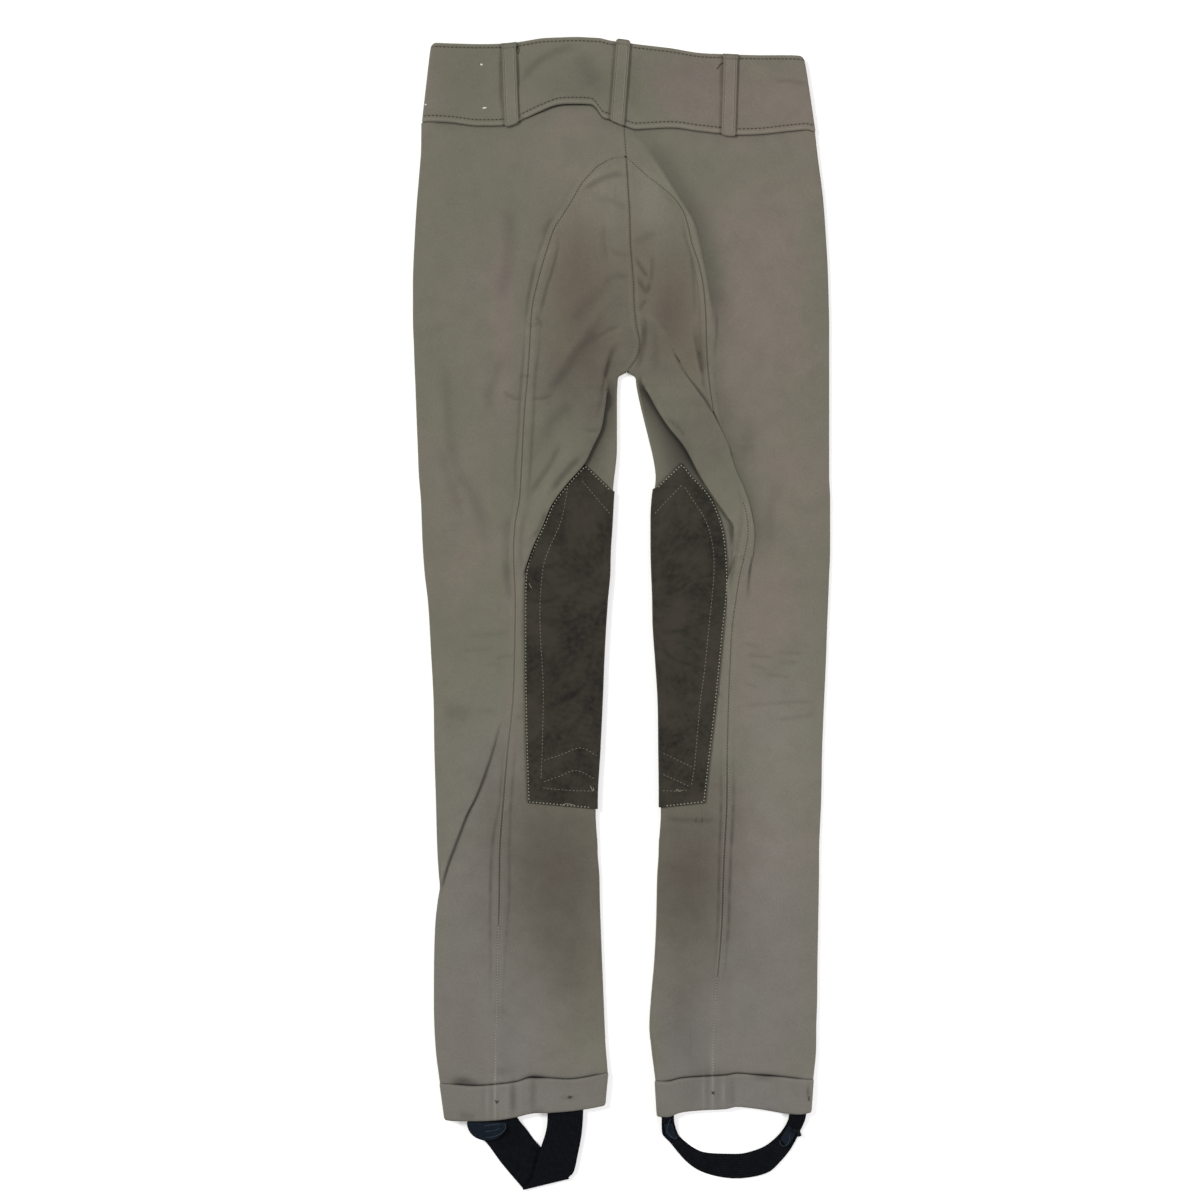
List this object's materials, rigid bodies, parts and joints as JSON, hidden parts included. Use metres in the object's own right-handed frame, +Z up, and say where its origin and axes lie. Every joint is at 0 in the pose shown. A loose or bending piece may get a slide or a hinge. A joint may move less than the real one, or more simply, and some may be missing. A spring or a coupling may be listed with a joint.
{
  "type": "riding breeches",
  "caption": "Long stretch riding breeches laid flat with the back up: contoured waistband with belt loops, suede knee patches, turned cuffs and elastic foot straps.",
  "frame": {"origin": "centre of the overall box, on the surface that the garment lies on", "axes": "+Y to the waistband, +X to the wearer's right, which is on the right as seen with the back up, +Z up out of the back"},
  "size_m": [0.3502, 0.9669, 0.0103],
  "materials": {
    "cloth": "matt olive-grey stretch twill, worn and creased",
    "suede": "dark olive-brown synthetic suede",
    "elastic": "near-black ribbed elastic",
    "tab": "dark blue woven buttonhole tab"
  },
  "bodies": {
    "root": {"outer_panel_left": "cloth", "outer_panel_right": "cloth", "seat_panel_left": "cloth", "seat_panel_right": "cloth", "waistband": "cloth", "fly_flap": "cloth", "belt_loop_left": "cloth", "belt_loop_centre": "cloth", "belt_loop_right": "cloth", "cuff_left": "cloth", "cuff_right": "cloth", "knee_patch_left": "suede", "knee_patch_right": "suede", "foot_strap_left": "elastic", "foot_strap_right": "elastic", "strap_tab_left": "tab", "strap_tab_right_inner": "tab", "strap_tab_right_outer": "tab"}
  },
  "joints": []
}
